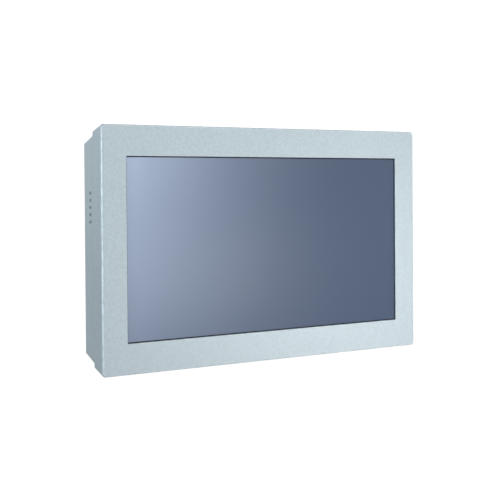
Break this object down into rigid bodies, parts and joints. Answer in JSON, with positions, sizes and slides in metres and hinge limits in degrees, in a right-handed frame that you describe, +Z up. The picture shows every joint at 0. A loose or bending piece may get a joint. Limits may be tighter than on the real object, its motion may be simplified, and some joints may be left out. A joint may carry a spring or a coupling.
{
  "type": "hmi touch panel",
  "caption": "Widescreen industrial touch panel in a folded metal case with a recessed screen, side keys, a rear connector bay and a rear mounting face.",
  "frame": {"origin": "centre of the raised pad on the rear cover, in the middle of the mounting holes", "axes": "+Y out of the back, +X right as seen from the front, +Z up"},
  "size_m": [0.557, 0.078, 0.3598],
  "materials": {
    "powder_coat": "fine sand-texture silver-grey powder coat",
    "zinc_sheet": "zinc-plated sheet steel",
    "steel_screw": "stainless steel",
    "touch_glass": "smooth glass",
    "black_rubber": "matte black foam and rubber",
    "lcd_layer": "display cell, switched off",
    "clear_sheet": "translucent optical sheet",
    "circuit_board": "green solder mask",
    "heat_aluminium": "machined aluminium",
    "black_plastic": "moulded black plastic",
    "key_plastic": "grey moulded plastic",
    "port_metal": "nickel-plated shells",
    "label_foil": "blank satin foil"
  },
  "bodies": {
    "casing": {"front_bezel": "powder_coat", "rear_housing": "powder_coat", "rear_cover": "powder_coat", "cover_gasket": "black_rubber", "mount_plate": "zinc_sheet", "rating_label": "label_foil", "breather_vent": "black_plastic", "glass_gasket": "black_rubber", "touch_glass": "touch_glass", "lcd_tape": "black_rubber", "lcd_front_frame": "zinc_sheet", "lcd_cell": "lcd_layer", "diffuser_sheet": "clear_sheet", "light_guide": "clear_sheet", "led_strip": "circuit_board", "lcd_rear_tray": "zinc_sheet", "lcd_bracket_left": "zinc_sheet", "lcd_bracket_right": "zinc_sheet", "chassis_plate": "zinc_sheet", "main_board": "circuit_board", "power_board": "circuit_board", "touch_controller_board": "circuit_board", "led_driver_board": "circuit_board", "heat_block": "heat_aluminium", "memory_module": "circuit_board", "solid_state_drive": "heat_aluminium", "io_plate": "zinc_sheet", "power_inlet": "port_metal", "earth_stud": "port_metal", "rocker_frame": "black_plastic", "network_socket_1": "port_metal", "network_socket_2": "port_metal", "usb_socket_1": "port_metal", "usb_socket_2": "port_metal", "video_socket": "port_metal", "serial_socket": "port_metal", "key_guide": "black_plastic", "key_board": "circuit_board", "cover_screw_1": "steel_screw", "cover_screw_2": "steel_screw", "cover_screw_3": "steel_screw", "cover_screw_4": "steel_screw", "cover_screw_5": "steel_screw", "cover_screw_6": "steel_screw", "cover_screw_7": "steel_screw", "cover_screw_8": "steel_screw", "key_switch_1": "black_plastic", "key_switch_2": "black_plastic", "key_switch_3": "black_plastic", "key_switch_4": "black_plastic", "key_switch_5": "black_plastic"},
    "key_1": {"side_key_1": "key_plastic"},
    "key_2": {"side_key_2": "key_plastic"},
    "key_3": {"side_key_3": "key_plastic"},
    "key_4": {"side_key_4": "key_plastic"},
    "key_5": {"side_key_5": "key_plastic"},
    "rocker": {"rocker": "black_plastic"}
  },
  "joints": [
    {"name": "key_1_press", "type": "slide", "parent": "casing", "child": "key_1", "axis": [1, 0, 0], "range_m": [0, 0.0008], "stiffness_N_per_m": 1500, "springref_m": -0.0005},
    {"name": "key_2_press", "type": "slide", "parent": "casing", "child": "key_2", "axis": [1, 0, 0], "range_m": [0, 0.0008], "stiffness_N_per_m": 1500, "springref_m": -0.0005},
    {"name": "key_3_press", "type": "slide", "parent": "casing", "child": "key_3", "axis": [1, 0, 0], "range_m": [0, 0.0008], "stiffness_N_per_m": 1500, "springref_m": -0.0005},
    {"name": "key_4_press", "type": "slide", "parent": "casing", "child": "key_4", "axis": [1, 0, 0], "range_m": [0, 0.0008], "stiffness_N_per_m": 1500, "springref_m": -0.0005},
    {"name": "key_5_press", "type": "slide", "parent": "casing", "child": "key_5", "axis": [1, 0, 0], "range_m": [0, 0.0008], "stiffness_N_per_m": 1500, "springref_m": -0.0005},
    {"name": "rocker_tilt", "type": "hinge", "parent": "casing", "child": "rocker", "pos_m": [-0.118, -0.0245, -0.1235], "axis": [0, -1, 0], "range_deg": [0, 14]}
  ]
}
